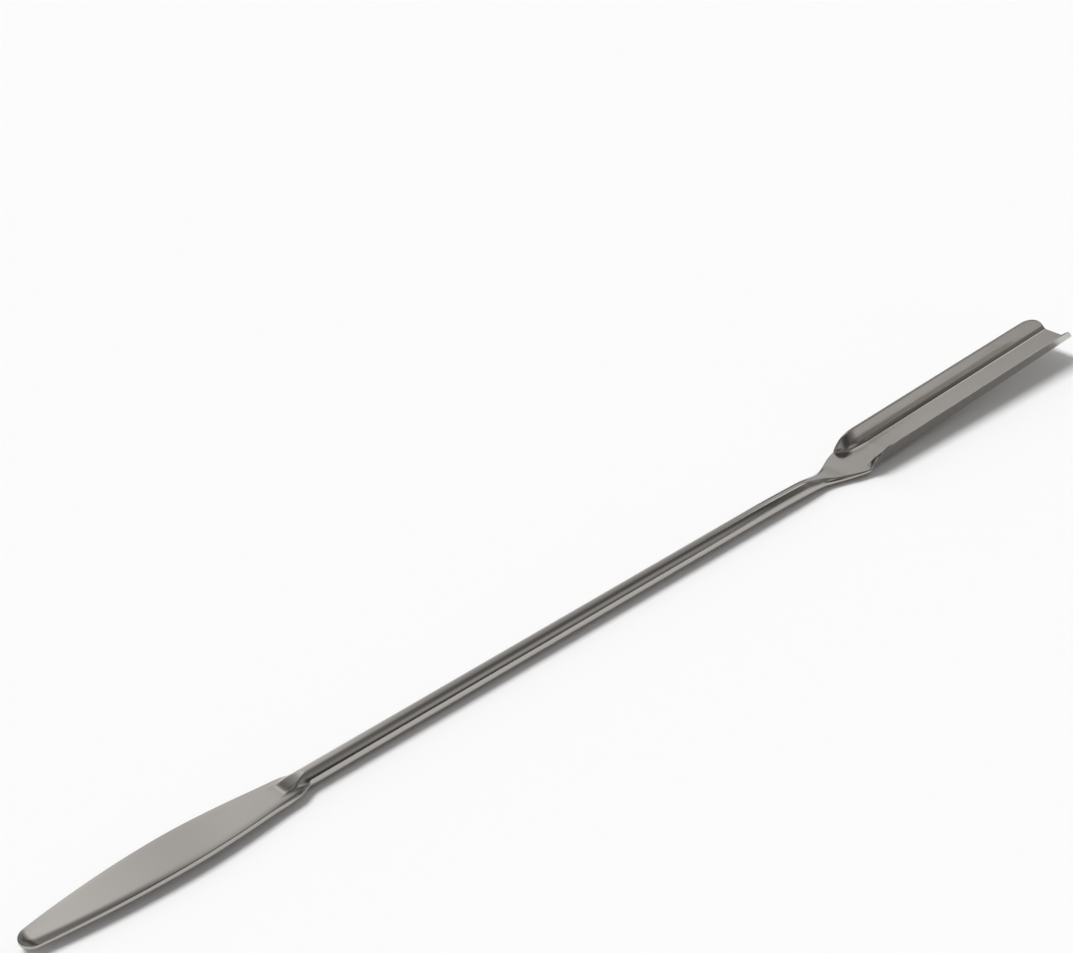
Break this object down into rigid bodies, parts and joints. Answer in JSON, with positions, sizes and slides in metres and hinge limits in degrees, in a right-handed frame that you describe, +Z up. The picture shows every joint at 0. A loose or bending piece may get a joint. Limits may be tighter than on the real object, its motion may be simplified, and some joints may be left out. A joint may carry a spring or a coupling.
{
  "type": "double-ended lab spatula",
  "caption": "Double-ended lab spatula: a round steel rod with a flat leaf-shaped blade at one end and an open trough-shaped scoop at the other.",
  "frame": {"origin": "bottom centre of the tool's bounding box, on the bench that it lies on, halfway along its length", "axes": "+X runs from the blade to the trough's mouth, +Z is up, out of the trough's open side, and +Y is across the tool"},
  "size_m": [0.1806, 0.0068, 0.0052],
  "materials": {
    "polished_steel": "polished stainless steel with fine lengthwise polishing lines"
  },
  "bodies": {
    "root": {"spatula": "polished_steel"}
  },
  "joints": []
}
